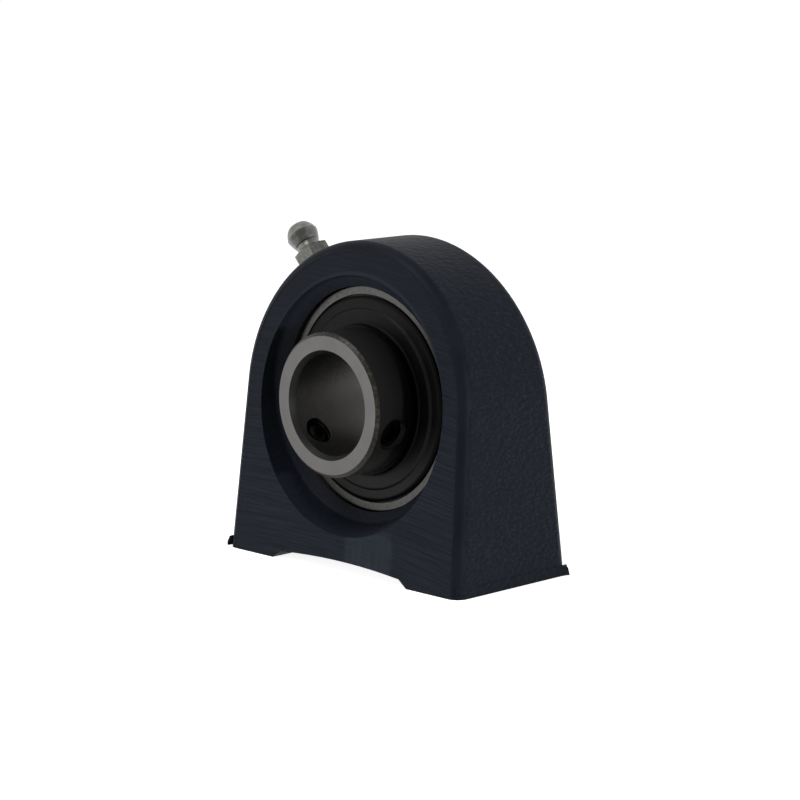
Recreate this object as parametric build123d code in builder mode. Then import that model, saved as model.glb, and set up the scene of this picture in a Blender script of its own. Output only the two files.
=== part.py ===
from build123d import *

import os
from math import acos, atan2, cos, hypot, radians, sin, sqrt, tan

# Pillow block bearing: a short-base cast-iron housing, tapped from below, that holds a
# deep-groove ball bearing insert in a spherical seat. The insert locks on its shaft with
# two set screws in the long side of its inner ring.
#
# Millimetres. +Z is up. The shaft lies along Y, and the front, at -Y, is the locking side.
# The origin is on the base, midway between the two tapped holes.

# --- Housing -------------------------------------------------------------------------
centre_height = 33.3  # base to shaft centre line
base_depth = 31.0  # foot to foot along the shaft, at the base
hole_spacing = 50.8  # between the two tapped holes
hole_to_end = 7.1  # from a tapped hole to the end of its foot
hole_to_relief = 6.5  # from a tapped hole to the inner edge of its foot
housing_wall = 7.4  # from the bearing seat out to the dome
face_lean = 5.5  # degrees that the front and back faces lean in towards the top
edge_radius = 2.5  # cast edge round the front and back faces

relief_height = 1.5  # gap under the base beside a foot
relief_crown = 0.8  # how much further the gap rises in the middle
relief_slope = 2.2  # how far the end wall of a foot runs in as it rises
relief_fillet = 0.8

tap_radius = 3.4  # tapping drill for M8
tap_depth = 15.0
tap_mouth = 0.4  # chamfer at the mouth of the thread
drill_point = 118.0  # degrees

# --- Seat and recess in the housing ----------------------------------------------------
seat_clearance = 0.02  # radial, so that the insert can align itself
seat_margin = 1.0  # the seat is wider than the ring by this much on each side
lead_in_depth = 1.5  # bevel from the seat's edge out to the recess wall
lead_in_rise = 2.1
recess_draft = 20.0  # degrees that the cast recess opens outwards
recess_fillet = 1.2
slot_clearance = 0.15  # round the ring as it goes in through the loading slots
groove_width = 6.0  # lubrication groove in the seat
groove_depth = 0.8
groove_offset = 2.0  # from the middle of the seat, away from the locking side

# --- Insert ------------------------------------------------------------------------------
bore_radius = 10.0
ring_radius = 23.5  # spherical outside of the outer ring
ring_width = 14.0
front_reach = 18.3  # ball centre to the locking face of the inner ring
back_reach = 12.7
ring_corner = 0.5  # bevel between the sphere and each face
face_bevel = 0.15  # inner edge of each face
collar_bevel = 0.65  # outer edges of the inner ring
bore_lead = 1.2  # length of the bevel at the locking end of the bore
bore_bevel = 0.7  # its rise, and both sizes of the one at the back

ball_count = 8
ball_radius = 3.969
ball_start = 22.5  # degrees from +X to the first ball
race_conformity = 1.04  # race radius over ball radius
race_clearance = 0.01
inner_shoulder = 2.65  # pitch circle down to the inner ring's land
outer_shoulder = 2.45  # pitch circle up to the outer ring's land
seal_share = 0.42  # of the outer ring's face, from its land outwards, that the seal's bore takes
seal_depth = 1.6  # from a face of the outer ring to the shoulder that stops the seal
oil_hole_radius = 0.8

# --- Cage, seals and slingers --------------------------------------------------------------
cage_gap = 1.0  # to the land of each ring
cage_end_gap = 0.3  # from the solid side of the cage to the seal lip
prong_reach = 2.3  # from the ball centres to the tips of the prongs
prong_gap = 2.4  # slot between the two prongs of a pair
prong_slot_end = 0.4
pocket_clearance = 0.08

washer_thickness = 0.5
washer_flange = 1.2  # length of the rim that holds the washer in the outer ring
washer_overhang = 2.0  # the washer stops short of the inner ring by this
lip_thickness = 0.4
lip_bond = 0.8  # how far the rubber runs up behind the washer
lip_clearance = 0.03

slinger_sheet = 0.55
sleeve_reach = 2.4  # rim of the sleeve, outwards from the face of the outer ring
web_reach = 0.9  # inner part of the slinger's face, outwards from that face
pan_reach = 0.6  # outer part, one step lower
rim_reach = 0.3
pan_width = 2.45  # from the middle of the step out to the rim
step_width = 0.4
rim_width = 0.5  # of the edge that is bent in
slinger_gap = 0.3  # between the slinger and the bore of the outer ring
sleeve_bend = 0.75
step_bend = 0.35
rim_bend = 0.5

# --- Set screws ------------------------------------------------------------------------------
screw_to_face = 4.9  # from a screw to the locking face of the inner ring
screw_angles = (-19.0, -139.0)  # degrees from +X, seen from the front
screw_radius = 2.756  # pitch line of an M6 x 0.75 thread
screw_length = 2.9  # a slack screw of this length lies below the outside of the collar
screw_clearance = 0.03
screw_set_back = 0.4  # from the bore to the point of a slack screw
screw_bevel = 0.3
screw_mouth = 0.6  # countersink at the outside of each screw hole
socket_flats = 3.0
socket_depth = 1.5
cup_radius = 1.5
cup_depth = 0.7

# --- Grease nipple -----------------------------------------------------------------------------
nipple_lean = 42.0  # degrees from the vertical, to the left seen from the front
spot_depth = 0.3  # spot face that the hexagon sits on, below the dome
spot_margin = 0.3
nipple_flats = 7.0
nipple_turn = -17.7  # degrees
hex_height = 4.9
hex_bevel = 0.5
stub_radius = 2.68  # pitch line of an M6 thread
stub_length = 5.3
stub_clearance = 0.02
tap_runout = 0.4
channel_radius = 1.25
neck_radius = 2.45
neck_height = 1.1  # above the hexagon
neck_length = 0.6
neck_flare = 0.6
head_radius = 3.25
head_rise = 3.8  # hexagon to the middle of the head
head_top = 2.4  # middle of the head to its flat top
check_bore_gap = 0.06  # from the check ball to the bore that guides it
check_mouth = 0.95
mouth_depth = 0.7
crimp_radius = 0.75
crimp_length = 0.6
check_ball_radius = 1.19
check_clearance = 0.02
spring_wire = 0.17  # radius
spring_turns = 7.0

# --- What follows from those sizes ----------------------------------------------------------------
base_length = hole_spacing + 2 * hole_to_end
relief_half = hole_spacing / 2 - hole_to_relief
dome_radius = ring_radius + housing_wall
seat_radius = ring_radius + seat_clearance
half_width = ring_width / 2
seat_half = half_width + seat_margin
seat_edge = sqrt(seat_radius**2 - seat_half**2)
outside = 2 * base_length  # longer than anything it cuts

pitch_radius = (bore_radius + ring_radius) / 2
race_radius = ball_radius * race_conformity
inner_land = pitch_radius - inner_shoulder
outer_land = pitch_radius + outer_shoulder
inner_race_floor = pitch_radius - ball_radius - race_clearance
outer_race_floor = pitch_radius + ball_radius + race_clearance
ring_face_edge = sqrt(ring_radius**2 - half_width**2) - ring_corner
seal_bore = outer_land + seal_share * (ring_face_edge - outer_land)
seal_stop = half_width - seal_depth
lip_back = seal_stop - lip_thickness
screw_hole = screw_radius + screw_clearance
screw_offset = front_reach - screw_to_face  # from the ball centres to the screws

shaft_centre = Vector(0, 0, centre_height)
shaft_axis = Axis(shaft_centre, (0, 1, 0))
# Section through the shaft axis: local x runs along the shaft, local y out from it.
section = Plane(origin=shaft_centre, x_dir=(0, 1, 0), z_dir=(1, 0, 0))

nipple_out = Vector(-sin(radians(nipple_lean)), 0, cos(radians(nipple_lean)))
nipple_seat = shaft_centre + nipple_out * (dome_radius - spot_depth)
nipple_axis = Axis(nipple_seat, nipple_out)
# Seat of the nipple, facing out, and a section through its axis with local y facing out.
nipple_plane = Plane(origin=nipple_seat, x_dir=(0, 1, 0), z_dir=nipple_out)
nipple_section = Plane(
    origin=nipple_seat, x_dir=(0, 1, 0), z_dir=Vector(0, 1, 0).cross(nipple_out)
)


def radial_plane(along, angle, distance):
    """Plane that faces out from the shaft, at a place along it and an angle from +X."""
    outward = Vector(cos(radians(angle)), 0, sin(radians(angle)))
    origin = shaft_centre + Vector(0, along, 0) + outward * distance
    return Plane(origin=origin, x_dir=(0, 1, 0), z_dir=outward)


def save(piece, name):
    """Label a finished piece and write it to its own file."""
    piece.part.label = name
    export_step(piece.part, f"parts/{name}.step")


# --- Housing: an arch that flares to its feet, wedge-shaped seen from the side ----------------
foot_reach = hypot(base_length / 2, centre_height)
side_angle = acos(dome_radius / foot_reach) + atan2(-centre_height, base_length / 2)
side_x = dome_radius * cos(side_angle)
side_z = centre_height + dome_radius * sin(side_angle)
arch_top = centre_height + dome_radius
top_half_depth = base_depth / 2 - arch_top * tan(radians(face_lean))

with BuildPart() as housing:
    with BuildSketch(Plane.XZ):
        with BuildLine():
            Polyline((-side_x, side_z), (-base_length / 2, 0), (base_length / 2, 0), (side_x, side_z))
            ThreePointArc((side_x, side_z), (0, arch_top), (-side_x, side_z))
        make_face()
    extrude(amount=base_depth, both=True)
    with BuildSketch(Plane.YZ):
        with BuildLine():
            Polyline(
                (-base_depth / 2, 0),
                (base_depth / 2, 0),
                (top_half_depth, arch_top),
                (-top_half_depth, arch_top),
                close=True,
            )
        make_face()
    extrude(amount=base_length, both=True, mode=Mode.INTERSECT)
    cast_faces = housing.faces().sort_by(Axis.Y)
    rims = cast_faces[0].edges() + cast_faces[-1].edges()
    fillet(rims.filter_by(lambda edge: edge.center().Z > edge_radius), edge_radius)

    # Seat, bevelled lead-in and drafted recess, the same on both sides.
    wall_foot = seat_edge + lead_in_rise
    wall_mouth = wall_foot + (base_depth - seat_half - lead_in_depth) * tan(radians(recess_draft))
    with BuildSketch(section):
        with BuildLine():
            ThreePointArc((-seat_half, seat_edge), (0, seat_radius), (seat_half, seat_edge))
            for side in (-1, 1):
                FilletPolyline(
                    (side * seat_half, seat_edge),
                    (side * (seat_half + lead_in_depth), wall_foot),
                    (side * base_depth, wall_mouth),
                    radius=recess_fillet,
                )
                Line((side * base_depth, wall_mouth), (side * base_depth, 0))
            Line((-base_depth, 0), (base_depth, 0))
        make_face()
    revolve(axis=shaft_axis, mode=Mode.SUBTRACT)

    # Lubrication groove round the seat.
    with BuildSketch(section):
        with Locations((groove_offset, seat_radius)):
            Rectangle(groove_width, 2 * groove_depth)
    revolve(axis=shaft_axis, mode=Mode.SUBTRACT)

    # Loading slots: the ring goes in from the back, turned flat, and swings into its seat.
    with BuildSketch(Plane(origin=shaft_centre, x_dir=(1, 0, 0), z_dir=(0, 1, 0))):
        Circle(seat_radius + slot_clearance)
        Rectangle(outside, ring_width + 2 * slot_clearance, mode=Mode.INTERSECT)
    extrude(amount=base_depth, mode=Mode.SUBTRACT)

    # Relief under the middle of the base, with a shallow crown.
    roof_half = relief_half - relief_slope
    with BuildSketch(Plane.XZ):
        with BuildLine():
            Polyline(
                (-roof_half, relief_height),
                (-relief_half, 0),
                (relief_half, 0),
                (roof_half, relief_height),
            )
            ThreePointArc(
                (roof_half, relief_height),
                (0, relief_height + relief_crown),
                (-roof_half, relief_height),
            )
        make_face()
        fillet(vertices().group_by(Axis.Y)[-1], relief_fillet)
    extrude(amount=base_depth, both=True, mode=Mode.SUBTRACT)

    # Two blind tapped holes in the feet.
    point_height = tap_radius / tan(radians(drill_point / 2))
    for side in (-1, 1):
        with Locations(Plane(origin=(side * hole_spacing / 2, 0, 0), z_dir=(0, 0, -1))):
            CounterSinkHole(tap_radius, tap_radius + tap_mouth, depth=tap_depth, counter_sink_angle=90)
        with Locations((side * hole_spacing / 2, 0, tap_depth)):
            Cone(
                tap_radius,
                0,
                point_height,
                align=(Align.CENTER, Align.CENTER, Align.MIN),
                mode=Mode.SUBTRACT,
            )

    # Spot face, tapped hole and channel for the grease nipple.
    hex_corner = nipple_flats / sqrt(3)
    with BuildSketch(nipple_plane):
        Circle(hex_corner + spot_margin)
    extrude(amount=housing_wall, mode=Mode.SUBTRACT)
    with BuildSketch(nipple_plane):
        Circle(stub_radius + stub_clearance)
    extrude(amount=-(stub_length + tap_runout), mode=Mode.SUBTRACT)
    with BuildSketch(nipple_plane):
        Circle(channel_radius)
    extrude(amount=-(housing_wall + seat_clearance), mode=Mode.SUBTRACT)
save(housing, "housing")

# --- Outer ring: spherical outside, deep groove inside, a stepped bore for each seal ------------
outer_race_centre = outer_race_floor - race_radius
outer_race_half = sqrt(race_radius**2 - (outer_land - outer_race_centre) ** 2)
corner_place = half_width - ring_corner
corner_radius = sqrt(ring_radius**2 - corner_place**2)
oil_hole_offset = (outer_race_half + seal_stop) / 2  # between race and seal

with BuildPart() as outer_ring:
    with BuildSketch(section):
        with BuildLine():
            ThreePointArc((-corner_place, corner_radius), (0, ring_radius), (corner_place, corner_radius))
            for side in (-1, 1):
                Polyline(
                    (side * corner_place, corner_radius),
                    (side * half_width, ring_face_edge),
                    (side * half_width, seal_bore + face_bevel),
                    (side * (half_width - face_bevel), seal_bore),
                    (side * seal_stop, seal_bore),
                    (side * seal_stop, outer_land),
                    (side * outer_race_half, outer_land),
                )
            ThreePointArc(
                (-outer_race_half, outer_land),
                (0, outer_race_floor),
                (outer_race_half, outer_land),
            )
        make_face()
    revolve(axis=shaft_axis)
    # Grease gets in beside the race, on the side away from the locking screws.
    with BuildSketch(radial_plane(oil_hole_offset, 90 + nipple_lean, 0)):
        Circle(oil_hole_radius)
    extrude(amount=dome_radius, mode=Mode.SUBTRACT)
save(outer_ring, "outer_ring")

# --- Inner ring: long on the locking side, with two tapped holes ---------------------------------
inner_race_centre = inner_race_floor + race_radius
inner_race_half = sqrt(race_radius**2 - (inner_race_centre - inner_land) ** 2)

with BuildPart() as inner_ring:
    with BuildSketch(section):
        with BuildLine():
            Polyline(
                (-inner_race_half, inner_land),
                (collar_bevel - front_reach, inner_land),
                (-front_reach, inner_land - collar_bevel),
                (-front_reach, bore_radius + bore_bevel),
                (bore_lead - front_reach, bore_radius),
                (back_reach - bore_bevel, bore_radius),
                (back_reach, bore_radius + bore_bevel),
                (back_reach, inner_land - collar_bevel),
                (back_reach - collar_bevel, inner_land),
                (inner_race_half, inner_land),
            )
            ThreePointArc(
                (-inner_race_half, inner_land),
                (0, inner_race_floor),
                (inner_race_half, inner_land),
            )
        make_face()
    revolve(axis=shaft_axis)
    for angle in screw_angles:
        with BuildSketch(radial_plane(-screw_offset, angle, 0)):
            Circle(screw_hole)
        extrude(amount=2 * inner_land, mode=Mode.SUBTRACT)
        with Locations(radial_plane(-screw_offset, angle, inner_land - screw_mouth)):
            Cone(
                screw_hole,
                screw_hole + 2 * screw_mouth,
                2 * screw_mouth,
                align=(Align.CENTER, Align.CENTER, Align.MIN),
                mode=Mode.SUBTRACT,
            )
save(inner_ring, "inner_ring")

# --- Balls and their snap-in cage -------------------------------------------------------------------
ball_step = 360 / ball_count
ball_planes = [radial_plane(0, ball_start + index * ball_step, pitch_radius) for index in range(ball_count)]

for number, ball_plane in enumerate(ball_planes, start=1):
    with BuildPart() as ball:
        with Locations(ball_plane.origin):
            Sphere(ball_radius)
    save(ball, f"ball_{number}")

cage_inner = inner_land + cage_gap
cage_outer = outer_land - cage_gap
cage_back = lip_back - cage_end_gap
slot_round = prong_gap / 2

with BuildPart() as cage:
    with BuildSketch(section):
        with BuildLine():
            Polyline(
                (-prong_reach, cage_inner),
                (cage_back, cage_inner),
                (cage_back, cage_outer),
                (-prong_reach, cage_outer),
                close=True,
            )
        make_face()
    revolve(axis=shaft_axis)
    for index, ball_plane in enumerate(ball_planes):
        with Locations(ball_plane.origin):
            Sphere(ball_radius + pocket_clearance, mode=Mode.SUBTRACT)
        between = ball_start + (index + 0.5) * ball_step
        with BuildSketch(radial_plane(0, between, 0)):
            with Locations((prong_slot_end - slot_round, 0)):
                Circle(slot_round)
                Rectangle(outside, prong_gap, align=(Align.MAX, Align.CENTER))
        extrude(amount=ring_radius, mode=Mode.SUBTRACT)
save(cage, "cage")

# --- Seals: a steel washer in the outer ring with a rubber lip on the inner ring ----------------------
washer_back = seal_stop
washer_front = washer_back + washer_thickness
washer_edge = inner_land + washer_overhang
rim_front = washer_back + washer_flange

with BuildPart() as front_seal_washer:
    with BuildSketch(section):
        with BuildLine():
            Polyline(
                (-washer_back, washer_edge),
                (-washer_back, seal_bore),
                (-rim_front, seal_bore),
                (-rim_front, seal_bore - washer_thickness),
                (-washer_front, seal_bore - washer_thickness),
                (-washer_front, washer_edge),
                close=True,
            )
        make_face()
    revolve(axis=shaft_axis)
save(front_seal_washer, "front_seal_washer")

lip_edge = inner_land + lip_clearance
lip_middle = (washer_back + washer_front) / 2

with BuildPart() as front_seal_lip:
    with BuildSketch(section):
        with BuildLine():
            Polyline(
                (-washer_front, washer_edge),
                (-washer_back, washer_edge),
                (-washer_back, washer_edge + lip_bond),
                (-lip_back, washer_edge + lip_bond),
                (-lip_back, washer_edge - lip_bond),
                (-lip_middle, lip_edge),
                (-washer_front, lip_edge),
                close=True,
            )
        make_face()
    revolve(axis=shaft_axis)
save(front_seal_lip, "front_seal_lip")

# --- Slingers: a sleeve on the inner ring and a stepped face that nearly fills the outer ring ----------
sheet_middle = slinger_sheet / 2
sleeve_line = inner_land + sheet_middle
web_line = half_width + web_reach - sheet_middle
pan_line = half_width + pan_reach - sheet_middle
rim_line = half_width + rim_reach - sheet_middle
rim_radius = seal_bore - slinger_gap
step_radius = rim_radius - pan_width

with BuildPart() as front_slinger:
    with BuildSketch(section):
        with BuildLine() as sheet:
            FilletPolyline(
                (-half_width - sleeve_reach, sleeve_line),
                (-web_line, sleeve_line),
                (-web_line, step_radius - step_width / 2),
                (-pan_line, step_radius + step_width / 2),
                (-pan_line, rim_radius - rim_width),
                (-rim_line, rim_radius),
                radius=[sleeve_bend, step_bend, step_bend, rim_bend],
            )
        trace(sheet.line, slinger_sheet)
    revolve(axis=shaft_axis)
save(front_slinger, "front_slinger")

# The back of the insert mirrors the front.
mirrored = {
    "back_seal_washer": front_seal_washer,
    "back_seal_lip": front_seal_lip,
    "back_slinger": front_slinger,
}
for name, front_piece in mirrored.items():
    with BuildPart() as back_piece:
        mirror(front_piece.part, about=Plane.XZ)
    save(back_piece, name)

# --- Set screws: socket head, cup point ---------------------------------------------------------------
screw_point = bore_radius + screw_set_back

for number, angle in enumerate(screw_angles, start=1):
    with BuildPart() as set_screw:
        with BuildSketch(radial_plane(-screw_offset, angle, screw_point)):
            Circle(screw_radius)
        extrude(amount=screw_length)
        chamfer(set_screw.edges(), screw_bevel)
        with BuildSketch(radial_plane(-screw_offset, angle, screw_point + screw_length)):
            RegularPolygon(socket_flats / 2, 6, major_radius=False)
        extrude(amount=-socket_depth, mode=Mode.SUBTRACT)
        with Locations(radial_plane(-screw_offset, angle, screw_point)):
            Cone(
                cup_radius,
                0,
                cup_depth,
                align=(Align.CENTER, Align.CENTER, Align.MIN),
                mode=Mode.SUBTRACT,
            )
    save(set_screw, f"set_screw_{number}")

# --- Grease nipple: hexagon, necked head, and a sprung check ball in its bore -----------------------------
head_middle = hex_height + head_rise
head_flat = sqrt(head_radius**2 - head_top**2)
neck_level = hex_height + neck_height
mouth_level = head_middle + head_top - mouth_depth
crimp_level = crimp_length - stub_length
check_bore = check_ball_radius + check_bore_gap

with BuildPart() as nipple_body:
    with BuildSketch(nipple_plane):
        RegularPolygon(nipple_flats / 2, 6, major_radius=False, rotation=nipple_turn)
    extrude(amount=hex_height)
    # Both ends of the hexagon are turned to a bevel.
    with BuildSketch(nipple_section):
        with BuildLine():
            Polyline(
                (0, 0),
                (hex_corner - hex_bevel, 0),
                (hex_corner, hex_bevel / 2),
                (hex_corner, hex_height - hex_bevel / 2),
                (hex_corner - hex_bevel, hex_height),
                (0, hex_height),
                close=True,
            )
        make_face()
    revolve(axis=nipple_axis, mode=Mode.INTERSECT)
    # Threaded stub below, neck and rounded head above.
    with BuildSketch(nipple_section):
        with BuildLine():
            Polyline(
                (0, head_middle + head_top),
                (0, -stub_length),
                (stub_radius - hex_bevel, -stub_length),
                (stub_radius, hex_bevel - stub_length),
                (stub_radius, hex_height),
                (neck_radius + neck_flare, hex_height),
                (neck_radius, neck_level),
                (neck_radius, neck_level + neck_length),
                (head_radius, head_middle),
            )
            RadiusArc((head_radius, head_middle), (head_flat, head_middle + head_top), -head_radius)
            Line((head_flat, head_middle + head_top), (0, head_middle + head_top))
        make_face()
    revolve(axis=nipple_axis)
    # Bore for the check ball and its spring, with a mouth above and a crimp below.
    with BuildSketch(nipple_section):
        with BuildLine():
            Polyline(
                (0, -stub_length),
                (crimp_radius, -stub_length),
                (crimp_radius, crimp_level),
                (check_bore, crimp_level),
                (check_bore, mouth_level),
                (check_mouth, mouth_level),
                (check_mouth, head_middle + head_top),
                (0, head_middle + head_top),
                close=True,
            )
        make_face()
    revolve(axis=nipple_axis, mode=Mode.SUBTRACT)
save(nipple_body, "nipple_body")

check_level = mouth_level - sqrt(check_ball_radius**2 - check_mouth**2) - check_clearance
with BuildPart() as nipple_ball:
    with Locations(nipple_plane.offset(check_level)):
        Sphere(check_ball_radius)
save(nipple_ball, "nipple_ball")

coil_radius = check_bore - spring_wire - 2 * check_clearance
coil_foot = crimp_level + spring_wire + check_clearance
coil_top = check_level - sqrt((check_ball_radius + spring_wire + check_clearance) ** 2 - coil_radius**2)
spring_pitch = (coil_top - coil_foot) / spring_turns
coil_start = nipple_plane.offset(coil_foot)

with BuildPart() as nipple_spring:
    with BuildLine() as coil:
        Helix(
            pitch=spring_pitch,
            height=coil_top - coil_foot,
            radius=coil_radius,
            center=coil_start.origin,
            direction=nipple_out,
        )
    with BuildSketch(Plane(origin=coil.line @ 0, z_dir=coil.line % 0)):
        Circle(spring_wire)
    sweep(path=coil.line, is_frenet=True)
save(nipple_spring, "nipple_spring")
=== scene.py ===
# %% [markdown]
# # Dressing a pillow block bearing
#
# A pillow block bearing is a cast-iron housing with a ball bearing in it. The pieces come from a
# CAD model that already has every size right, so this lesson never moves them. It adds what CAD
# leaves out: the camera, the light, the finish of each surface, and the threads and burrs.

import random
from math import cos, pi, radians, sin, sqrt, tau

import bpy
import bmesh
from mathutils import Matrix, Vector


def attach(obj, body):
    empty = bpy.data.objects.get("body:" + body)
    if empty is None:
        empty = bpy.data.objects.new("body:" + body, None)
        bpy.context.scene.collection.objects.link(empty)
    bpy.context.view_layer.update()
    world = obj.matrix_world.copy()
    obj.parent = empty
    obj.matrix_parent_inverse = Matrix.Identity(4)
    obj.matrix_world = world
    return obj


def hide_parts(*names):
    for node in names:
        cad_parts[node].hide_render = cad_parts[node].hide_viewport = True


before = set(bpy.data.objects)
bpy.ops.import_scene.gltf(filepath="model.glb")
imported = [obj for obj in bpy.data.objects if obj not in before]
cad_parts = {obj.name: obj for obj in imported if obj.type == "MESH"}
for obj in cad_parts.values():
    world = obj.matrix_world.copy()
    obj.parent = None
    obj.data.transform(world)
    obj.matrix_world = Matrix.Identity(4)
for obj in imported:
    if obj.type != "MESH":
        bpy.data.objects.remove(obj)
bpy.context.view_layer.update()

# %% [markdown]
# ## Units
#
# Blender works in metres, and a bearing is measured in millimetres. One named factor keeps every
# size below readable: `14 * MM` is fourteen millimetres.

# %% Units and the main places
MM = 0.001
shaft_height = 33.3 * MM
shaft_centre = Vector((0, 0, shaft_height))
print("shaft centre", round(shaft_height / MM, 2), "mm above the floor")

# %% [markdown]
# ## Camera
#
# A long lens from about half a metre flattens the perspective, as a product photographer does
# with small parts. The camera is described by where it looks from: degrees round the part,
# degrees above the floor, and a small slide sideways and up that centres the part in the frame.

# %% Camera
CAMERA_AZIMUTH = 45.26
CAMERA_ELEVATION = 9.69
CAMERA_ROLL = 0.08
CAMERA_DISTANCE = 516.3 * MM
CAMERA_SLIDE = (1.12 * MM, -1.06 * MM)
LENS, SENSOR = 118.27, 36  # millimetres
NEAREST, FARTHEST = 10 * MM, 20  # what the camera sees between


def aim_camera():
    """Make the camera and turn it to the part."""
    around, above, roll = (radians(a) for a in (CAMERA_AZIMUTH, CAMERA_ELEVATION, CAMERA_ROLL))
    back = Vector((sin(around) * cos(above), -cos(around) * cos(above), sin(above)))
    right = Vector((cos(around), sin(around), 0))
    up = back.cross(right)
    right, up = right * cos(roll) + up * sin(roll), up * cos(roll) - right * sin(roll)
    camera = bpy.data.objects.new("camera", bpy.data.cameras.new("camera"))
    bpy.context.scene.collection.objects.link(camera)
    camera.data.lens = LENS
    camera.data.sensor_width = SENSOR
    camera.data.clip_start = NEAREST
    camera.data.clip_end = FARTHEST
    turn = Matrix((right, up, back)).transposed().to_4x4()
    slide = right * CAMERA_SLIDE[0] + up * CAMERA_SLIDE[1]
    camera.matrix_world = Matrix.Translation(shaft_centre + back * CAMERA_DISTANCE + slide) @ turn
    bpy.context.scene.camera = camera
    return camera


camera = aim_camera()
print("camera at", [round(c / MM, 1) for c in camera.location], "mm")

# %% [markdown]
# ## Floor and background
#
# A pale floor and a white world stand in for a paper sweep. Two things are wanted of them: they
# should look white, and they should not flood a nearly black casting with light. A Light Path
# node separates the two. Rays that are seen, directly or mirrored in steel, meet white, and the
# rays that light the surfaces meet a dimmer grey.

# %% Which rays show the background


def seen_rays(nodes, links):
    """Is this a ray that shows the background, directly, in a mirror or through glass?"""
    path = nodes.new("ShaderNodeLightPath")
    total = path.outputs["Is Camera Ray"]
    for kind in ("Is Glossy Ray", "Is Transmission Ray"):
        larger = nodes.new("ShaderNodeMath")
        larger.operation = "MAXIMUM"
        links.new(total, larger.inputs[0])
        links.new(path.outputs[kind], larger.inputs[1])
        total = larger.outputs[0]
    return total


# %% Background
SEEN_WHITE = 1.0
AMBIENT = 0.14


def white_world():
    """World that is seen as white and lights at the ambient level."""
    world = bpy.data.worlds.new("paper_sweep")
    world.use_nodes = True
    nodes, links = world.node_tree.nodes, world.node_tree.links
    nodes.clear()
    lighting, seen = (nodes.new("ShaderNodeBackground") for _ in range(2))
    lighting.inputs["Strength"].default_value = AMBIENT
    seen.inputs["Strength"].default_value = SEEN_WHITE
    for background in (lighting, seen):
        background.inputs["Color"].default_value = (1, 1, 1, 1)
    chosen = nodes.new("ShaderNodeMixShader")
    output = nodes.new("ShaderNodeOutputWorld")
    links.new(seen_rays(nodes, links), chosen.inputs[0])
    links.new(lighting.outputs[0], chosen.inputs[1])
    links.new(seen.outputs[0], chosen.inputs[2])
    links.new(chosen.outputs[0], output.inputs["Surface"])
    bpy.context.scene.world = world
    print("background", SEEN_WHITE, "where seen,", AMBIENT, "as light")


white_world()

# %% [markdown]
# ### Floor
#
# The floor has to catch the shadow of the part and still look as white as what lies behind it.
# So a matt surface takes the light, and a glow is added to it that only seen rays meet.

# %% Floor
FLOOR_SIZE = 40.0  # metres
FLOOR_PAINT = (0.82, 0.82, 0.82)
FLOOR_GLOW = 0.89  # added where the floor is seen


def pale_floor():
    """Floor that takes the part's shadow and is otherwise seen as white."""
    bpy.ops.mesh.primitive_plane_add(size=FLOOR_SIZE)
    floor = bpy.context.active_object
    floor.name = "floor"
    material = bpy.data.materials.new("pale_floor")
    material.use_nodes = True
    nodes, links = material.node_tree.nodes, material.node_tree.links
    nodes.clear()
    matt = nodes.new("ShaderNodeBsdfDiffuse")
    matt.inputs["Color"].default_value = (*FLOOR_PAINT, 1)
    glow = nodes.new("ShaderNodeEmission")
    lift = nodes.new("ShaderNodeMath")
    lift.operation = "MULTIPLY"
    lift.inputs[1].default_value = FLOOR_GLOW
    links.new(seen_rays(nodes, links), lift.inputs[0])
    links.new(lift.outputs[0], glow.inputs["Strength"])
    both = nodes.new("ShaderNodeAddShader")
    links.new(matt.outputs[0], both.inputs[0])
    links.new(glow.outputs[0], both.inputs[1])
    output = nodes.new("ShaderNodeOutputMaterial")
    links.new(both.outputs[0], output.inputs["Surface"])
    floor.data.materials.append(material)
    print(floor.name, "is", FLOOR_SIZE, "m square")


bpy.ops.object.select_all(action="DESELECT")
pale_floor()

# %% [markdown]
# ## Light
#
# Four soft boxes: a small one on the right that draws the collar's shadow on the recess, a broad
# one on the left that fills the front face, a weak one high on the right for the shoulder of the
# arch, and one above the front that lights the dome and reaches into the recess.

# %% Soft boxes
SOFT_BOXES = (
    # name, degrees round, degrees above, distance, width, height, watts
    ("key_box", 86, 6.4, 0.80, 0.04, 0.04, 3.7),
    ("left_box", -34, 6, 0.80, 0.90, 0.70, 3.4),
    ("right_box", 110, 45, 0.70, 0.60, 0.50, 0.9),
    ("top_box", -22, 58, 0.60, 0.20, 0.20, 1.7),
)


def soft_box(name, around, above, distance, width, height, power):
    """Area light that faces the shaft centre."""
    data = bpy.data.lights.new(name, "AREA")
    data.shape = "RECTANGLE"
    data.size, data.size_y, data.energy = width, height, power
    lamp = bpy.data.objects.new(name, data)
    around, above = radians(around), radians(above)
    out = Vector((sin(around) * cos(above), -cos(around) * cos(above), sin(above)))
    lamp.location = shaft_centre + out * distance
    lamp.rotation_euler = out.to_track_quat("Z", "Y").to_euler()
    bpy.context.scene.collection.objects.link(lamp)


for box in SOFT_BOXES:
    soft_box(*box)
print("soft boxes:", len(SOFT_BOXES))

# %% [markdown]
# ## A small kit for finishes
#
# Every finish is a Principled shader with patterns worked out from the object's own coordinates,
# so nothing slides when the part turns. `Wiring` holds the node tree of one finish, links nodes
# and does sums with them. Lengths inside a finish are in millimetres.

# %% Wiring of a finish


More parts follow.
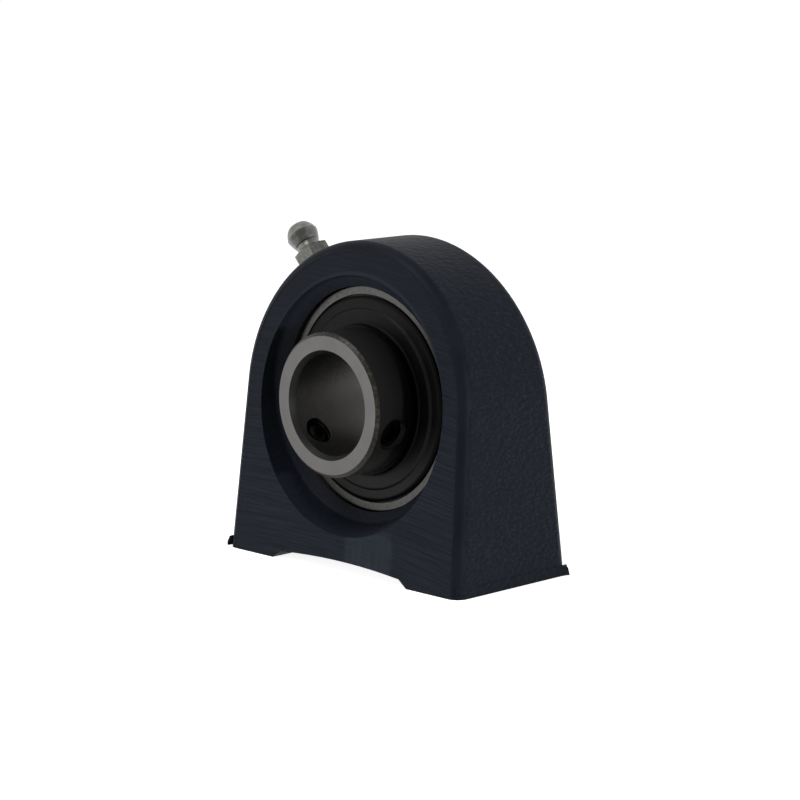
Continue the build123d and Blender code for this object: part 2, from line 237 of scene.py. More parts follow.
class Wiring:
    """Node tree of one finish, and the ways to link and reckon in it."""

    def __init__(self, name, colour, metallic, roughness, specular=0.5):
        self.material = bpy.data.materials.new(name)
        self.material.use_nodes = True
        self.tree = self.material.node_tree
        self.shader = self.tree.nodes["Principled BSDF"]
        self.set("Base Color", (*colour, 1))
        self.set("Metallic", metallic)
        self.set("Roughness", roughness)
        self.set("Specular IOR Level", specular)
        coordinates = self.node("ShaderNodeTexCoord")
        self.normal = coordinates.outputs["Normal"]
        scaled = self.node("ShaderNodeMapping", Vector=coordinates.outputs["Object"])
        scaled.inputs["Scale"].default_value = (1 / MM,) * 3
        self.place = scaled.outputs[0]

    def set(self, socket, value):
        """Put a number, a colour or another node's output on a socket of the shader."""
        self.feed(self.shader.inputs[socket], value)

    def feed(self, socket, value):
        if isinstance(value, bpy.types.NodeSocket):
            self.tree.links.new(value, socket)
        else:
            socket.default_value = value

    def node(self, kind, **inputs):
        made = self.tree.nodes.new(kind)
        for name, value in inputs.items():
            self.feed(made.inputs[name], value)
        return made

    def math(self, operation, first, second=0.0):
        made = self.tree.nodes.new("ShaderNodeMath")
        made.operation = operation
        for socket, value in zip(made.inputs, (first, second)):
            self.feed(socket, value)
        return made.outputs[0]

    def plus(self, first, second):
        return self.math("ADD", first, second)

    def minus(self, first, second):
        return self.math("SUBTRACT", first, second)

    def times(self, first, second):
        return self.math("MULTIPLY", first, second)

    def larger(self, first, second):
        return self.math("MAXIMUM", first, second)

    def distance(self, first, second):
        """How far a point is from a line, from its two distances square to it."""
        squares = self.math("POWER", first, 2), self.math("POWER", second, 2)
        return self.math("SQRT", self.plus(*squares))


# %% [markdown]
# ### Patterns
#
# `Recipe` adds the few kinds of node that a metal or a paint needs: soft steps, noise, blends and
# relief. It also knows the shaft line, because most faces of a bearing are rings round it.

# %% Patterns and places of a finish


class Recipe(Wiring):
    """A finish with patterns that know where they are on the part."""

    def split(self, vector):
        return self.node("ShaderNodeSeparateXYZ", Vector=vector).outputs

    def join(self, x, y, z):
        return self.node("ShaderNodeCombineXYZ", X=x, Y=y, Z=z).outputs[0]

    def step(self, value, low, high):
        """0 below low and 1 above high, turning smoothly between them; high may be the lower."""
        made = self.node("ShaderNodeMapRange", Value=value)
        made.interpolation_type = "SMOOTHSTEP"
        self.feed(made.inputs["From Min"], low)
        self.feed(made.inputs["From Max"], high)
        return made.outputs[0]

    def noise(self, vector, scale, detail=2.0, roughness=0.5):
        made = self.node("ShaderNodeTexNoise", Vector=vector, Scale=scale)
        self.feed(made.inputs["Detail"], detail)
        self.feed(made.inputs["Roughness"], roughness)
        return made.outputs["Fac"]

    def blend(self, amount, first, second):
        """Colour that goes from first to second as amount goes from 0 to 1."""
        made = self.tree.nodes.new("ShaderNodeMix")
        made.data_type = "RGBA"
        sockets = made.inputs[0], made.inputs[6], made.inputs[7]
        for socket, value in zip(sockets, (amount, first, second)):
            colour = isinstance(value, tuple) and len(value) == 3
            self.feed(socket, (*value, 1) if colour else value)
        return made.outputs[2]

    def between(self, amount, first, second):
        """Number that goes from first to second as amount goes from 0 to 1."""
        made = self.tree.nodes.new("ShaderNodeMix")
        for socket, value in zip(made.inputs[:1] + made.inputs[2:4], (amount, first, second)):
            self.feed(socket, value)
        return made.outputs[0]

    def relief(self, *layers):
        """Bump the surface by layers of (height from 0 to 1, depth in millimetres)."""
        normal = None
        for height, depth in layers:
            bump = self.node("ShaderNodeBump", Height=height, Distance=depth * MM)
            if normal is not None:
                self.feed(bump.inputs["Normal"], normal)
            normal = bump.outputs[0]
        self.set("Normal", normal)

    def facing(self):
        """1 where the surface looks straight along the shaft, 0 where it lies along it."""
        return self.math("ABSOLUTE", self.split(self.normal)[1])

    def round_shaft(self):
        """Place sideways from the shaft line, along it and above it."""
        x, y, z = self.split(self.place)
        return x, y, self.minus(z, shaft_height / MM)

    def shaft_radius(self):
        """How far a place is from the shaft line."""
        x, _, height = self.round_shaft()
        return self.distance(x, height)


# %% [markdown]
# ### Dressing
#
# A CAD node comes in a plain colour. Dressing takes that off and puts a finish on.

# %% Dressing


def dress(material, *names):
    """Give CAD nodes or pieces a finish in place of what they came with."""
    for name in names:
        mesh = bpy.data.objects[name].data
        mesh.materials.clear()
        mesh.materials.append(material)
    print(material.name, "on", ", ".join(names))


# %% [markdown]
# ## Painted casting
#
# The housing is sand-cast iron under one thin coat of blue-black paint. The sand leaves a pebbled
# skin on the dome, the sides and the back of the recess. The front and back were ground flat
# before painting, so long, faintly curved scratches show through there. One finish covers it all:
# the surface normal tells a ground face from a cast one, and the place gives each its pattern.

# %% Colours and places of the casting
PAINT = (0.0053, 0.0067, 0.0105)
# The paler coat, reached by wear and by painted light.
PAINT_WORN_AND_LIT = (0.0153, 0.0192, 0.0268)
PAINT_RUBBED = (0.0270, 0.0330, 0.0445)
BARE_IRON = (0.10, 0.095, 0.088)
GROUND_FLAT = (0.965, 0.992)  # how squarely a ground face looks along the shaft
RECESS_WALL = (28.5, 27.0)  # radii in millimetres; the recess is inside them
RECESS_LIP = (28.0, 29.0)  # the rounded edges are outside these
SEAT_RIM = (24.9, 25.4)  # the ground faces are outside these

# %% [markdown]
# ### Grinding marks
#
# A grinding wheel leaves long scratches that bow a little, because the casting swings past it.
# Noise that is drawn out far along one direction does the same: the place is squeezed sideways
# before the noise is read. They are heaviest towards the feet and fade up the arch.

# %% Grinding marks
GRIND_BOW = 620.0  # millimetres, twice the radius of the grinding arcs
GRIND_LEFT = 20.0  # millimetres to the left of the middle, where the arcs are highest


def grinding_marks(r, x, z, ground):
    """Coarse and fine scratches on the ground faces."""
    bow = r.math("DIVIDE", r.math("POWER", r.plus(x, GRIND_LEFT), 2), GRIND_BOW)
    level = r.plus(z, bow)
    coarse = r.noise(r.join(r.times(x, 0.035), 0.0, r.times(level, 1.1)), 1.0, 2.0)
    fine = r.noise(r.join(r.times(x, 0.07), 5.0, r.times(level, 2.9)), 1.0, 1.0)
    coarse, fine = r.step(coarse, 0.34, 0.66), r.step(fine, 0.36, 0.64)
    strength = r.times(ground, r.between(r.step(z, 52.0, 22.0), 0.45, 1.0))
    return r.times(coarse, strength), r.times(fine, strength)


# %% [markdown]
# ### Sand skin
#
# Where the iron lay against the sand it has a crust of small grains with soft domes under it and
# a slow swell under those. Paint has filled the crust on the round edges, over the top of the
# arch and in the recess, so it is weaker there.

# %% Sand skin


def round_edges(r, facing, radius):
    """1 on the rounded outer edges of the housing."""
    edge = r.times(r.step(facing, 0.10, 0.45), r.step(facing, 0.975, 0.9))
    return r.times(edge, r.step(radius, *RECESS_LIP))


def sand_skin(r, ground, inside, edge):
    """Where the skin and its crust are, and the heights of domes, grain and swell."""
    x, y, z = r.split(r.place)
    lying = r.join(x, r.times(y, 0.62), z)
    pebbles = r.node("ShaderNodeTexVoronoi", Vector=lying, Scale=1.25)
    pebbles.feature = "SMOOTH_F1"
    r.feed(pebbles.inputs["Smoothness"], 0.8)
    domes = r.step(pebbles.outputs["Distance"], 0.72, 0.18)
    grain = r.noise(lying, 2.1, 3.0, 0.6)
    swell = r.noise(r.place, 0.22, 2.0)
    skin = r.times(r.minus(1.0, ground), r.between(inside, 1.0, 0.25))
    crust = r.times(skin, r.between(r.step(z, 62.0, 46.0), 0.45, 1.0))
    crust = r.times(crust, r.minus(1.0, edge))
    return skin, crust, domes, grain, swell


# %% [markdown]
# ### Rubbed patch
#
# At the foot of the front face the paint is rubbed thin in a patch, in upright strokes. The patch
# is a box with a drifting edge, and its strokes are noise drawn out upwards.

# %% Rubbed patch
PATCH_MIDDLE, PATCH_HALF_WIDTH, PATCH_TOP = 8.0, 7.0, 10.5  # millimetres


def rubbed_patch(r, ground):
    """How much of the paint is rubbed away, stroke by stroke."""
    x, y, z = r.split(r.place)
    drift = r.times(r.minus(r.noise(r.place, 0.5, 2.0), 0.5), 3.0)
    across = r.math("ABSOLUTE", r.plus(r.minus(x, PATCH_MIDDLE), drift))
    patch = r.times(
        r.step(across, PATCH_HALF_WIDTH, PATCH_HALF_WIDTH - 1.6),
        r.step(z, PATCH_TOP, PATCH_TOP - 2.0),
    )
    patch = r.times(r.times(patch, ground), r.step(y, 0.0, -1.0))
    strokes = r.noise(r.join(r.times(x, 2.2), 0.0, r.times(z, 0.10)), 1.0, 2.0)
    return r.times(patch, r.between(r.step(strokes, 0.30, 0.70), 0.50, 0.80))


# %% [markdown]
# ### Wear, painted shade and bare iron
#
# Scratches are worn paler, and the round edges are painted darker, as painted shade. In the recess
# the colour is painted paler at the top and the right, as painted light, and darker at the left,
# as painted shade. The seat, the underside and the tapped holes were cut after painting and are
# bare.

# %% Wear, painted shade and bare iron
SEAT_RADIUS = (24.5, 24.3)  # millimetres, as are the next three
SEAT_HALF_WIDTH = 8.0
HOLE_SPACING = 50.8
HOLE_EDGE = 4.0


def paint_wear_and_light(r, coarse, fine, edge, recess_skin):
    """How pale the coat is, from wear and from painted light and shade: 0 where it is darkest."""
    x, _, z = r.split(r.place)
    cloud = r.step(r.noise(r.place, 0.09, 3.0), 0.35, 0.7)
    wear_and_painted_light = r.plus(r.times(coarse, 0.45), r.times(fine, 0.72))
    wear_and_painted_light = r.larger(wear_and_painted_light, r.times(cloud, 0.2))
    # Painted shade: off the round edges the coat is made paler, so the round edges stay darker.
    wear_and_painted_light = r.larger(wear_and_painted_light, r.times(r.minus(1.0, edge), 0.16))
    # Painted light and shade in the recess: paler towards the right and the top, darkest at the
    # left.
    painted_light_right = r.between(r.step(x, -18.0, 4.0), 0.2, 2.0)
    painted_light_top = r.between(r.step(z, 34.0, 50.0), 0.0, 2.0)
    return r.larger(wear_and_painted_light, r.times(recess_skin, r.plus(painted_light_right, painted_light_top)))


def cut_after_painting(r, radius):
    """1 on the seat, on the underside and in the tapped holes."""
    x, y, z = r.split(r.place)
    seat = r.times(
        r.step(radius, *SEAT_RADIUS),
        r.step(r.math("ABSOLUTE", y), SEAT_HALF_WIDTH, SEAT_HALF_WIDTH - 0.1),
    )
    under = r.step(r.split(r.normal)[2], -0.985, -0.995)
    under = r.times(under, r.step(z, 1.0, 0.4))
    hole = r.distance(r.minus(r.math("ABSOLUTE", x), HOLE_SPACING / 2), y)
    hole = r.times(r.step(hole, HOLE_EDGE, HOLE_EDGE - 0.1), r.step(z, 18.0, 17.5))
    return r.larger(r.larger(seat, under), hole)


# %% [markdown]
# ### The whole coat
#
# The coat puts these together: the normal tells a ground face from a cast one, the patterns give
# the relief, the wear and the painted light and shade, and the colours are blended from the
# painted to the bare.

# %% The whole coat


def casting_paint():
    r = Recipe("casting_paint", PAINT, 0.0, 0.48, specular=0.04)
    x, _, z = r.split(r.place)
    radius = r.shaft_radius()
    facing = r.facing()
    inside = r.step(radius, *RECESS_WALL)
    ground = r.times(r.step(facing, *GROUND_FLAT), r.step(radius, *SEAT_RIM))
    coarse, fine = grinding_marks(r, x, z, ground)
    edge = round_edges(r, facing, radius)
    skin, crust, domes, grain, swell = sand_skin(r, ground, inside, edge)
    r.relief(
        (coarse, 0.07),
        (fine, 0.06),
        (r.times(domes, crust), 0.11),
        (r.times(grain, crust), 0.21),
        (r.times(swell, skin), 0.12),
    )
    # Paleness from wear, and from painted light and shade in the recess and on the round edges.
    wear_and_painted_light = paint_wear_and_light(r, coarse, fine, edge, r.times(inside, skin))
    rough_tops = r.times(r.step(grain, 0.5, 0.66), r.times(crust, 0.5))
    coat = r.blend(r.plus(wear_and_painted_light, rough_tops), PAINT, PAINT_WORN_AND_LIT)
    bare = cut_after_painting(r, radius)
    coat = r.blend(rubbed_patch(r, ground), coat, PAINT_RUBBED)
    r.set("Base Color", r.blend(bare, coat, BARE_IRON))
    r.set("Metallic", r.times(bare, 0.8))
    r.set("Roughness", r.between(r.larger(coarse, fine), 0.46, 0.56))
    return r.material


paint = casting_paint()
dress(paint, "housing")

# %% [markdown]
# ## Bearing steel
#
# The rings are one steel with three faces. The end faces are ground and shine evenly, the outside
# of the collar keeps the dark scale of its heat treatment, and the bore is honed.

# %% Colours and places of the rings
GROUND_STEEL = (0.094, 0.0920, 0.0890)
SCALED_STEEL = (0.0110, 0.0110, 0.0108)
# Painted shade: the collar's scale is darkened towards the slinger.
SHADED_SCALE = (0.0050, 0.0051, 0.0053)
# Painted light from below: the collar's scale is paler low down.
UNDERLIT_SCALE = (0.0360, 0.0350, 0.0330)
BEVEL_STEEL = (0.040, 0.033, 0.023)
HONED_STEEL = (0.072, 0.070, 0.066)
# Painted shade inside the threaded screw holes.
HOLE_SHADE = (0.0060, 0.0054, 0.0044)
SCREW_ANGLES = (-19, -139)  # degrees from +X
SCREW_LINE = -13.4  # millimetres along the shaft
SCREW_PITCH = 0.75  # M6, fine

# A finish turns into the next between the two millimetres of each pair.
BORE_WALL = (10.10, 10.03)
BEVEL_START = (13.3, 13.4)
# Where the painted shade on the collar begins and where it is full.
SHADE_ALONG = (-16.5, -9.5)
# Where the painted light from below begins and where it is full.
UNDERLIT_BELOW = (27.0, 21.0)
HOLE_RADIUS, HOLE_DEEP = (2.84, 2.80), (9.0, 9.2)
MOUTH_RADIUS, MOUTH_DEEP = (3.40, 3.36), (12.8, 13.0)

# %% [markdown]
# ### Screw holes
#
# The two holes in the collar are threaded. The CAD wall is plain, so the thread is worked out: the
# angle round the hole is added to the height up it, which makes a helix, and a zigzag of that is
# the height of the thread.

# %% Screw holes


def screw_hole(r, angle):
    """1 inside a screw hole or its countersink, and the height of its thread."""
    x, y, height = r.round_shaft()
    c, s = cos(radians(angle)), sin(radians(angle))
    out = r.plus(r.times(x, c), r.times(height, s))
    across = r.minus(r.times(height, c), r.times(x, s))
    along = r.minus(y, SCREW_LINE)
    reach = r.distance(across, along)
    wall = r.times(r.step(reach, *HOLE_RADIUS), r.step(out, *HOLE_DEEP))
    mouth = r.times(r.step(reach, *MOUTH_RADIUS), r.step(out, *MOUTH_DEEP))
    turn = r.math("DIVIDE", r.math("ARCTAN2", across, along), tau)
    climb = r.plus(r.math("DIVIDE", out, SCREW_PITCH), turn)
    return r.larger(wall, mouth), r.math("PINGPONG", climb, 0.5)


# %% [markdown]
# ### Inner ring
#
# Scale stays wherever the grinding wheel and the hone did not reach. It is painted paler low down,
# as painted light from below, and darker towards the slinger, as painted shade, and the bevel has
# brown spots. Ground marks run round the end faces, and the hone leaves finer ones round the bore.

# %% Inner ring


def ring_colour(r, along, bevel, end_face, bore):
    """Scale first, painted light low down and painted shade towards the slinger, then rust,
    grinding and honing.
    """
    spots = r.step(r.noise(r.place, 1.6, 3.0, 0.7), 0.45, 0.65)
    # Painted light from below, paler low down.
    underlit = r.times(r.step(r.split(r.place)[2], *UNDERLIT_BELOW), 0.7)
    # Painted shade, darker along the shaft towards the slinger.
    colour = r.blend(r.step(along, *SHADE_ALONG), SCALED_STEEL, SHADED_SCALE)
    colour = r.blend(underlit, colour, UNDERLIT_SCALE)
    colour = r.blend(r.times(bevel, spots), colour, BEVEL_STEEL)
    colour = r.blend(end_face, colour, GROUND_STEEL)
    return r.blend(bore, colour, HONED_STEEL)


def inner_ring_steel():
    r = Recipe("inner_ring_steel", GROUND_STEEL, 1.0, 0.32, specular=0.12)
    x, along, height = r.round_shaft()
    radius, facing = r.shaft_radius(), r.facing()
    end_face = r.step(facing, 0.93, 0.98)
    bore = r.times(r.step(radius, *BORE_WALL), r.step(facing, 0.3, 0.2))
    bevel = r.times(r.step(facing, 0.5, 0.6), r.step(radius, *BEVEL_START))
    colour = ring_colour(r, along, bevel, end_face, bore)

    rings = r.noise(r.join(r.times(radius, 6.0), 0.0, r.times(along, 3.0)), 1.0, 2.0)
    angle = r.math("ARCTAN2", height, x)
    hone = r.noise(r.join(r.times(angle, 2.0), r.times(along, 9.0), 4.0), 1.0, 1.0)
    layers = [(rings, 0.002), (r.times(hone, bore), 0.03)]
    for hole_angle in SCREW_ANGLES:
        hole, thread = screw_hole(r, hole_angle)
        # Painted shade: each screw hole and its countersink are darkened.
        colour = r.blend(hole, colour, HOLE_SHADE)
        layers.append((r.times(hole, thread), 0.5))
    r.relief(*layers)

    patchy = r.tree.nodes.new("ShaderNodeVectorMath")
    patchy.operation = "SCALE"
    r.feed(patchy.inputs[0], colour)
    r.feed(patchy.inputs["Scale"], r.between(r.noise(r.place, 0.35, 3.0), 0.88, 1.12))
    r.set("Base Color", patchy.outputs[0])
    r.set("Metallic", r.between(r.larger(end_face, bore), 0.25, 1.0))
    r.set("Roughness", r.between(bore, r.between(rings, 0.36, 0.46), 0.38))
    return r.material


dress(inner_ring_steel(), "inner_ring")

# %% [markdown]
# ### Outer ring
#
# Only its ground face shows. It has the same fine rings, with a few stains of old oil.

# %% Outer ring
RING_STEEL = (0.060, 0.059, 0.057)
RING_STAIN = (0.032, 0.029, 0.024)


def outer_ring_steel():
    r = Recipe("outer_ring_steel", RING_STEEL, 1.0, 0.36)
    _, along, _ = r.round_shaft()
    radius = r.shaft_radius()
    rings = r.noise(r.join(r.times(radius, 5.0), 0.0, r.times(along, 3.0)), 1.0, 2.0)
    stains = r.step(r.noise(r.place, 1.3, 4.0, 0.7), 0.50, 0.72)
    r.set("Base Color", r.blend(stains, RING_STEEL, RING_STAIN))
    r.set("Roughness", r.between(rings, 0.30, 0.42))
    r.relief((rings, 0.002))
    return r.material


dress(outer_ring_steel(), "outer_ring")

# %% [markdown]
# ## Slingers
#
# The slingers are blackened sheet, pressed in steps. They turn with the inner ring and throw off
# dirt. Their black is painted darker near the collar and along the rim, as painted shade, and it
# is paler where it hangs lowest.

# %% Slingers
SLINGER_BLACK = (0.0052, 0.0052, 0.0051)
SLINGER_GREY = (0.0088, 0.0088, 0.0086)
# Painted shade near the collar and along the rim.
SLINGER_SHADE = (0.0036, 0.0036, 0.0035)
SLINGER_PALE_LOW = (0.0180, 0.0180, 0.0176)
SHADE_INNER, SHADE_RIM = (15.6, 14.6), (19.2, 19.9)  # radii in millimetres
PALER_BELOW = (34.0, 16.0)  # millimetres above the floor


def slinger_steel():
    r = Recipe("slinger_steel", SLINGER_BLACK, 1.0, 0.46)
    radius = r.shaft_radius()
    # Painted shade near the collar and along the rim.
    painted_shade = r.larger(r.step(radius, *SHADE_INNER), r.step(radius, *SHADE_RIM))
    smears = r.noise(r.place, 0.3, 2.0)
    # The colour is paler lower down.
    paler_low = r.times(r.step(r.split(r.place)[2], *PALER_BELOW), 0.6)
    colour = r.blend(paler_low, r.blend(smears, SLINGER_BLACK, SLINGER_GREY), SLINGER_PALE_LOW)
    r.set("Base Color", r.blend(painted_shade, colour, SLINGER_SHADE))
    r.set("Roughness", r.between(smears, 0.40, 0.52))
    return r.material


dress(slinger_steel(), "front_slinger", "back_slinger")

# %% [markdown]
# ## Hidden pieces
#
# Seals, cage, balls and the nipple's spring are hidden or nearly so, but a reader may take the
# bearing apart. Each gets one even finish from a shared recipe: sheet steel, black rubber, pale
# nylon, and polished steel for the balls.

# %% Hidden pieces
BALLS = [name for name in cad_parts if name.startswith("ball_")]
DARKER = 0.7  # share of the colour where the grain is high
SHINIER, DULLER = 0.85, 1.15  # shares of the roughness


def plain_finish(name, colour, metallic, roughness, grain_scale, grain_depth):
    """Finish with one even grain."""
    r = Recipe(name, colour, metallic, roughness)
    grain = r.noise(r.place, grain_scale, detail=3.0)
    r.set("Base Color", r.blend(grain, colour, tuple(c * DARKER for c in colour)))
    r.set("Roughness", r.between(grain, roughness * SHINIER, roughness * DULLER))
    r.relief((grain, grain_depth))
    return r.material


seal_steel = plain_finish("seal_steel", (0.03, 0.03, 0.03), 1.0, 0.4, 1.5, 0.004)
seal_rubber = plain_finish("seal_rubber", (0.012, 0.012, 0.012), 0.0, 0.6, 3.0, 0.01)
cage_nylon = plain_finish("cage_nylon", (0.55, 0.5, 0.38), 0.0, 0.5, 1.2, 0.01)
ball_steel = plain_finish("ball_steel", (0.55, 0.55, 0.55), 1.0, 0.08, 4.0, 0.0005)
spring_steel = plain_finish("spring_steel", (0.4, 0.4, 0.4), 1.0, 0.3, 3.0, 0.002)
plain_screw_steel = plain_finish("screw_steel", (0.02, 0.02, 0.02), 1.0, 0.4, 3.0, 0.004)
dress(seal_steel, "front_seal_washer", "back_seal_washer")
dress(seal_rubber, "front_seal_lip", "back_seal_lip")
dress(cage_nylon, "cage")
dress(ball_steel, "nipple_ball", *BALLS)
dress(spring_steel, "nipple_spring")
dress(plain_screw_steel, "set_screw_1", "set_screw_2")

# %% [markdown]
# ## Modelling by hand
#
# CAD gave the set screws and the nipple plain outlines. Their threads, points and bevels are
# modelled here as one would by hand: a primitive, pushed into shape in edit mode. Each piece is
# built upright on the world's Z axis, where its sizes are easy to read, and then laid in place.
# The place is applied to the mesh, so that the object itself stays at the origin.

# %% Helpers for edit mode


def select_none():
    """Leave edit mode and select nothing."""
    if bpy.context.object is not None and bpy.context.object.mode != "OBJECT":
        bpy.ops.object.mode_set(mode="OBJECT")
    bpy.ops.object.select_all(action="DESELECT")


def pick(piece):
    """Select one piece alone."""
    select_none()
    bpy.context.view_layer.objects.active = piece
    piece.select_set(True)


def edit(piece):
    """Go into edit mode with all of one piece selected."""
    pick(piece)
    bpy.ops.object.mode_set(mode="EDIT")
    bpy.ops.mesh.select_all(action="SELECT")


def face_outwards():
    """Turn every face of the piece being edited outwards and leave edit mode."""
    bpy.ops.mesh.select_all(action="SELECT")
    bpy.ops.mesh.normals_make_consistent(inside=False)
    bpy.ops.object.mode_set(mode="OBJECT")


def select_where(piece, kind, wanted):
    """In edit mode, select the vertices, edges or faces whose middle passes the test."""
    mesh = bmesh.from_edit_mesh(piece.data)
    bpy.ops.mesh.select_all(action="DESELECT")
    kinds = {"verts": mesh.verts, "edges": mesh.edges, "faces": mesh.faces}
    bpy.context.tool_settings.mesh_select_mode = [kind == name for name in kinds]
    for element in kinds[kind]:
        corners = [element] if kind == "verts" else element.verts
        if wanted(sum((corner.co for corner in corners), Vector()) / len(corners)):
            element.select_set(True)
    mesh.select_flush_mode()
    bmesh.update_edit_mesh(piece.data)


# %% [markdown]
# ### Cutting and copying
#
# A Boolean modifier joins or cuts one solid with another, as a drill or a weld would. What
# repeats is modelled once, and each duplicate gets a mesh of its own.

# %% Helpers for modifiers and copies


def apply_modifier(piece, kind, **settings):
    """Add a modifier, set it and make its result the mesh."""
    pick(piece)
    modifier = piece.modifiers.new(kind.lower(), kind)
    for name, value in settings.items():
        setattr(modifier, name, value)
    bpy.ops.object.modifier_apply(modifier=modifier.name)


def cut_with(piece, tool, operation):
    """Join a second solid to a piece, cut it away or keep what both fill."""
    apply_modifier(piece, "BOOLEAN", object=tool, operation=operation, solver="EXACT")
    bpy.data.objects.remove(tool, do_unlink=True)


def copy_of(piece, name):
    """Second piece of the same shape, with a mesh of its own."""
    pick(piece)
    bpy.ops.object.duplicate()
    twin = bpy.context.active_object
    twin.name = name
    return twin


# %% [markdown]
# ## Turning
#
# On a lathe, a round part is a list of diameters along its length. `turned` follows such a list
# with one disc, extruded and resized again and again.

# %% Turned solids
LATHE_SIDES = 64


def grow(outline, height, radius):
    """Extrude the selected face through (height, radius) steps, in millimetres."""
    for next_height, next_radius in outline:
        rise = (0, 0, (next_height - height) * MM)
        bpy.ops.mesh.extrude_region_move(TRANSFORM_OT_translate={"value": rise})
        spread = next_radius / radius
        centre = (0, 0, next_height * MM)
        bpy.ops.transform.resize(value=(spread, spread, 1), center_override=centre)
        height, radius = next_height, next_radius


def turned(name, outline):
    """Solid of revolution round Z from (height, radius) pairs, in millimetres."""
    (height, radius), rest = outline[0], outline[1:]
    select_none()
    bpy.ops.mesh.primitive_circle_add(
        vertices=LATHE_SIDES, radius=radius * MM, fill_type="NGON", location=(0, 0, height * MM)
    )
    piece = bpy.context.active_object
    piece.name = name
    bpy.ops.object.transform_apply()
    edit(piece)
    grow(rest, height, radius)
    face_outwards()
    return piece


# %% [markdown]
# ## Threading
#
# A thread is a single tooth that climbs as it goes round. The tooth is a square with its back
# taken off and its front squeezed, and the Screw modifier winds it up. Two bisect cuts trim the
# rod flat. Bisect counts every point within its threshold as lying on the cut, and its usual
# threshold of a tenth of a millimetre is too coarse for a thread, so a finer one is given.

# %% Threaded rods
MERGE = 0.001 * MM  # points nearer than this are one point
TOOTH_TIP = 0.25  # share of the pitch that a tooth is wide at its crest
ROD_STEPS = 32  # facets in one turn


def tooth(name, crest, root, pitch, low):
    """Open outline of one thread tooth in the XZ plane: two flanks and a narrow crest."""
    select_none()
    bpy.ops.mesh.primitive_plane_add(
        size=pitch * MM, location=((crest + root) / 2 * MM, 0, low * MM), rotation=(pi / 2, 0, 0)
    )
    piece = bpy.context.active_object
    piece.name = name
    bpy.ops.object.transform_apply()
    edit(piece)
    middle = (crest + root) / 2 * MM
    depth = (crest - root) * MM
    bpy.ops.transform.resize(
        value=((crest - root) / pitch, 1, 1), center_override=(middle, 0, low * MM)
    )
    bpy.ops.mesh.delete(type="ONLY_FACE")
    select_where(piece, "edges", lambda place: place.x < middle - 0.4 * depth)
    bpy.ops.mesh.delete(type="EDGE")
    select_where(piece, "edges", lambda place: place.x > middle + 0.4 * depth)
    bpy.ops.transform.resize(value=(1, 1, TOOTH_TIP), center_override=(crest * MM, 0, low * MM))
    bpy.ops.object.mode_set(mode="OBJECT")
    return piece


def threaded(name, crest, root, pitch, low, high):
    """Threaded rod round Z from low to high, wound a little too long and then cut flat."""
    rod = tooth(name, crest, root, pitch, low - 1.5 * pitch)
    turns = int((high - low) / pitch) + 4
    apply_modifier(
        rod, "SCREW", screw_offset=pitch * MM, iterations=turns,
        steps=ROD_STEPS, render_steps=ROD_STEPS,
        use_merge_vertices=True, merge_threshold=MERGE, use_smooth_shade=False,
    )
    edit(rod)
    bpy.ops.mesh.remove_doubles(threshold=MERGE)
    for height, above in ((low, False), (high, True)):
        bpy.ops.mesh.select_all(action="SELECT")
        bpy.ops.mesh.bisect(
            plane_co=(0, 0, height * MM), plane_no=(0, 0, 1), use_fill=True,
            clear_outer=above, clear_inner=not above, threshold=MERGE,
        )
    face_outwards()
    return rod


# %% [markdown]
# ### Laying a piece in its place
#
# A finished piece is turned from the Z axis to its own and moved there, and then that place is
# applied to the mesh. Edges that bend less than a set angle are shaded as one smooth surface.

# %% Laying a piece in its place
SMOOTH_UNDER = radians(32)  # sharper edges than this stay crisp


def lay(piece, origin, outward, material, body, side=Vector((0, 1, 0))):
    """Turn a piece from the Z axis to its own, apply that, and give it finish and body."""
    turn = Matrix((side, outward.cross(side), outward)).transposed().to_4x4()
    pick(piece)
    piece.matrix_world = Matrix.Translation(origin) @ turn
    bpy.ops.object.transform_apply()
    bpy.ops.object.shade_smooth_by_angle(angle=SMOOTH_UNDER)
    piece.data.materials.clear()
    piece.data.materials.append(material)
    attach(piece, body)
    print(piece.name, len(piece.data.polygons), "faces on", body)


# %% [markdown]
# ## Set screws
#
# Each set screw is an M6 rod with a fine thread, a hexagon socket at one end and a sharp-edged
# cup at the other, which bites the shaft. It is blackened steel. The rod comes from `threaded`,
# its ends are drawn in by extruding the caps, and the socket is cut with a six-sided prism. One
# screw is modelled, and its copy goes into the other hole.

# %% Hexagon bar


def hexagon(name, across_flats, low, high, turn=0.0):
    """Six-sided prism round Z, a flat side towards +X when it is not turned."""
    select_none()
    bpy.ops.mesh.primitive_cylinder_add(
        vertices=6, radius=across_flats / sqrt(3) * MM, depth=(high - low) * MM,
        location=(0, 0, (low + high) / 2 * MM), rotation=(0, 0, turn),
    )
    prism = bpy.context.active_object
    prism.name = name
    bpy.ops.object.transform_apply()
    return prism


# %% Shape of a set screw
SCREW_POINT, SCREW_FACE = 10.4, 13.3  # millimetres out from the shaft line
SCREW_CREST, SCREW_ROOT = 2.75, 2.36
SOCKET_FLATS, SOCKET_DEPTH, DRILL_RADIUS = 3.0, 1.5, 1.45
POINT_BEVEL, FACE_BEVEL = 0.5, 0.25
CUP_RIM, CUP_EDGE, CUP_DEPTH, CUP_BOTTOM = 1.75, 1.6, 0.7, 0.12
NEAR = 1e-6  # metres, for picking a flat end


